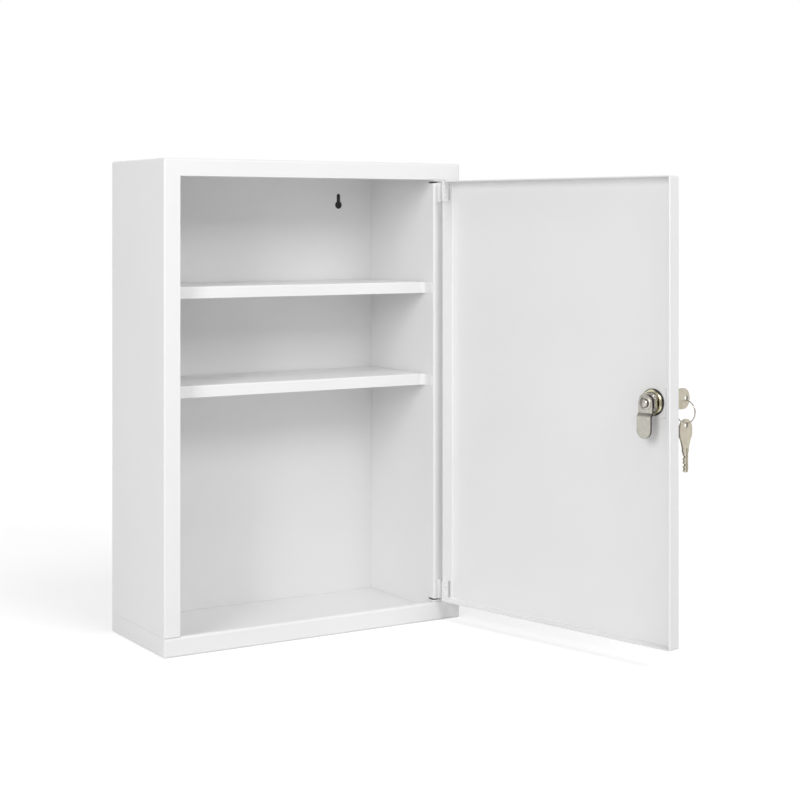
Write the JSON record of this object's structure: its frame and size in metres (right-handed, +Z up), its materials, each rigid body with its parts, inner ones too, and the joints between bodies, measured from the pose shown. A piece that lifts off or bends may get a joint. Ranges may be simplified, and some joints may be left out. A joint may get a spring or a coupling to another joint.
{
  "type": "lockable medicine cabinet",
  "caption": "Wall-mounted steel medicine cabinet with a hinge stile, fixed shelves and an inset pan door that swings open and locks with a keyed cam.",
  "frame": {"origin": "the middle of the body's underside, on the surface it stands on; mid-way between the two sides and between the front and the wall", "axes": "+X to the right seen from the front, +Y from the front to the wall, +Z up. The door stands open at rest."},
  "size_m": [0.4184, 0.3902, 0.45],
  "materials": {
    "white_powder_coat": "satin, fine texture",
    "zinc_plated_steel": "satin",
    "bright_nickel": "polished",
    "black_plastic": "matte",
    "yellow_zinc": "satin, yellow passivated zinc",
    "brass": "satin",
    "satin_nickel": "satin",
    "key_nickel": "satin"
  },
  "bodies": {
    "cabinet": {"body_shell": "white_powder_coat", "base_pan": "white_powder_coat", "floor_panel": "white_powder_coat", "back_panel": "white_powder_coat", "hinge_stile": "white_powder_coat", "lower_shelf": "white_powder_coat", "upper_shelf": "white_powder_coat", "lower_shelf_rests": "white_powder_coat", "upper_shelf_rests": "white_powder_coat", "shelf_gussets": "white_powder_coat", "lower_hinge_bracket": "white_powder_coat", "upper_hinge_bracket": "white_powder_coat", "lower_hinge_pin": "zinc_plated_steel", "upper_hinge_pin": "zinc_plated_steel", "hinge_covers": "white_powder_coat"},
    "door": {"door_panel": "white_powder_coat", "lower_hinge_leaf": "white_powder_coat", "upper_hinge_leaf": "white_powder_coat", "hinge_rivets": "white_powder_coat", "lock_plate": "white_powder_coat", "lock_housing": "bright_nickel", "lock_washer": "black_plastic", "lock_nut": "yellow_zinc"},
    "plug": {"lock_plug": "bright_nickel", "lock_wafers": "brass", "wafer_springs": "zinc_plated_steel", "lock_cam": "satin_nickel", "cam_washer": "satin_nickel", "cam_nut": "satin_nickel"},
    "key": {"key": "key_nickel"},
    "ring": {"key_ring": "bright_nickel"},
    "spare": {"spare_key": "key_nickel"}
  },
  "joints": [
    {"name": "door_hinge", "type": "hinge", "parent": "cabinet", "child": "door", "pos_m": [0.14, -0.0535, 0.225], "axis": [0, 0, 1], "range_deg": [-103, 9]},
    {"name": "lock_turn", "type": "hinge", "parent": "door", "child": "plug", "pos_m": [0.20392, -0.30148, 0.233], "axis": [0.9744, 0.225, 0], "range_deg": [-90, 0]},
    {"name": "key_slide", "type": "slide", "parent": "plug", "child": "key", "axis": [0.9744, 0.225, 0], "range_m": [-0.0128, 0.0015]},
    {"name": "ring_swing", "type": "hinge", "parent": "key", "child": "ring", "pos_m": [0.24894, -0.29108, 0.2315], "axis": [-0.225, 0.9744, 0], "range_deg": [-12, 12]},
    {"name": "spare_swing", "type": "hinge", "parent": "ring", "child": "spare", "pos_m": [0.24894, -0.29108, 0.2105], "axis": [-0.225, 0.9744, 0], "range_deg": [-12, 12]}
  ]
}
